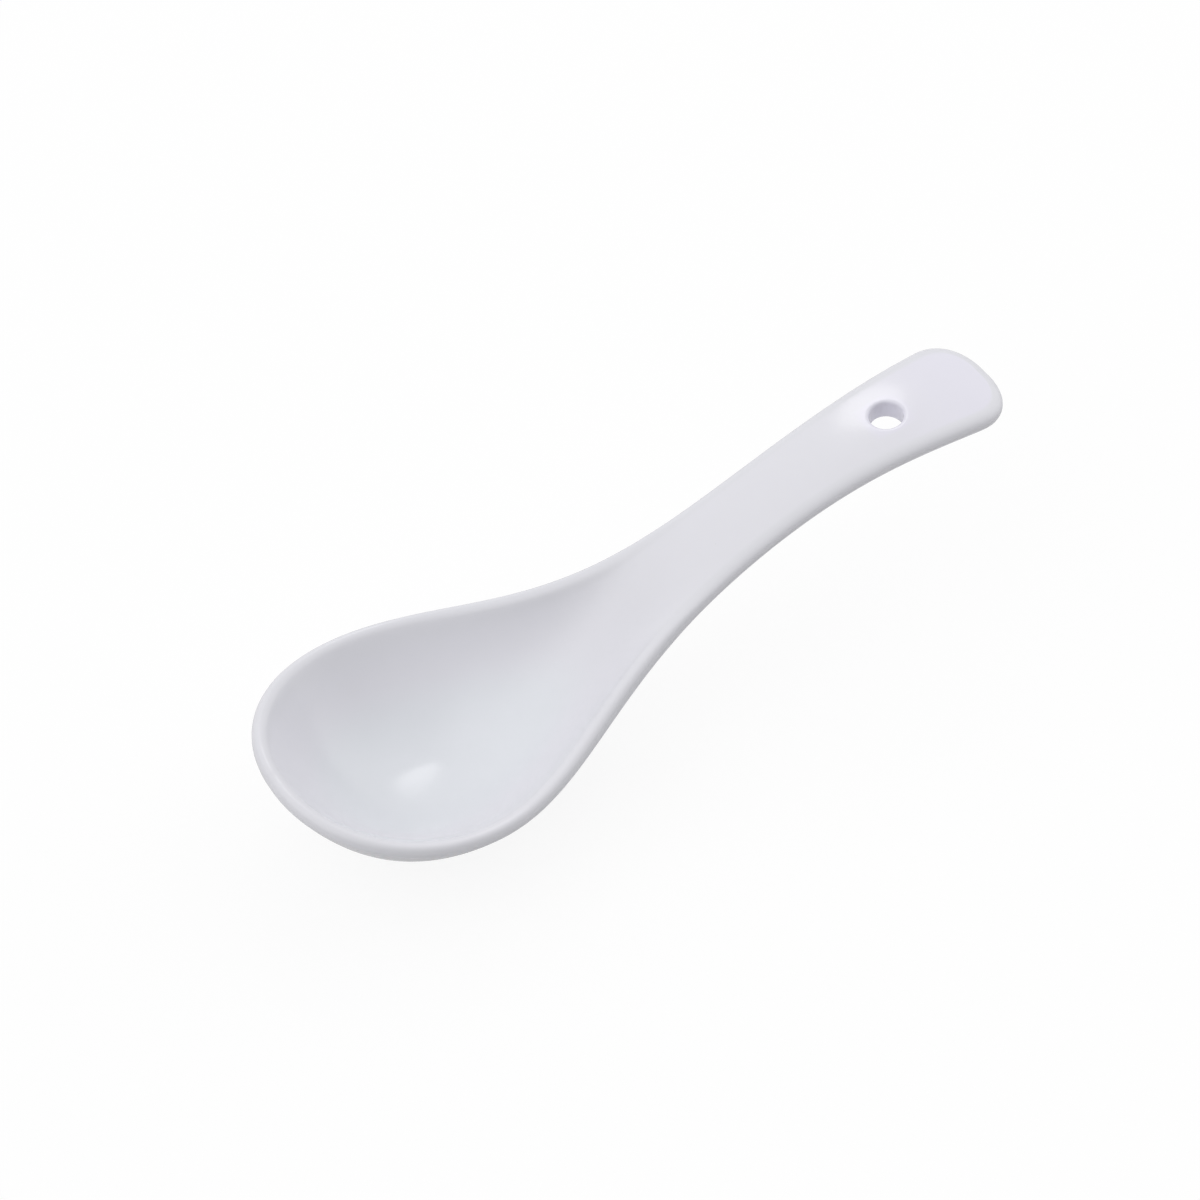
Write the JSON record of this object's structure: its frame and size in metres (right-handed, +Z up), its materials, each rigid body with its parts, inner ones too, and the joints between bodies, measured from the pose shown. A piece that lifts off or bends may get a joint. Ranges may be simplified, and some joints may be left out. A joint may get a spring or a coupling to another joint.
{
  "type": "chinese soup spoon",
  "caption": "Deep oval soup spoon with a flat foot, a trough-shaped neck and a short rising handle that flares to a rounded end with a hanging hole.",
  "frame": {"origin": "middle of the flat foot that the spoon stands on", "axes": "+X along the spoon towards the handle, +Y across it, +Z up"},
  "size_m": [0.1313, 0.0472, 0.04],
  "materials": {
    "bare_porcelain": "matte, fired bare",
    "white_glaze": "gloss"
  },
  "bodies": {
    "root": {"porcelain_body": "bare_porcelain", "glaze_coat": "white_glaze"}
  },
  "joints": []
}
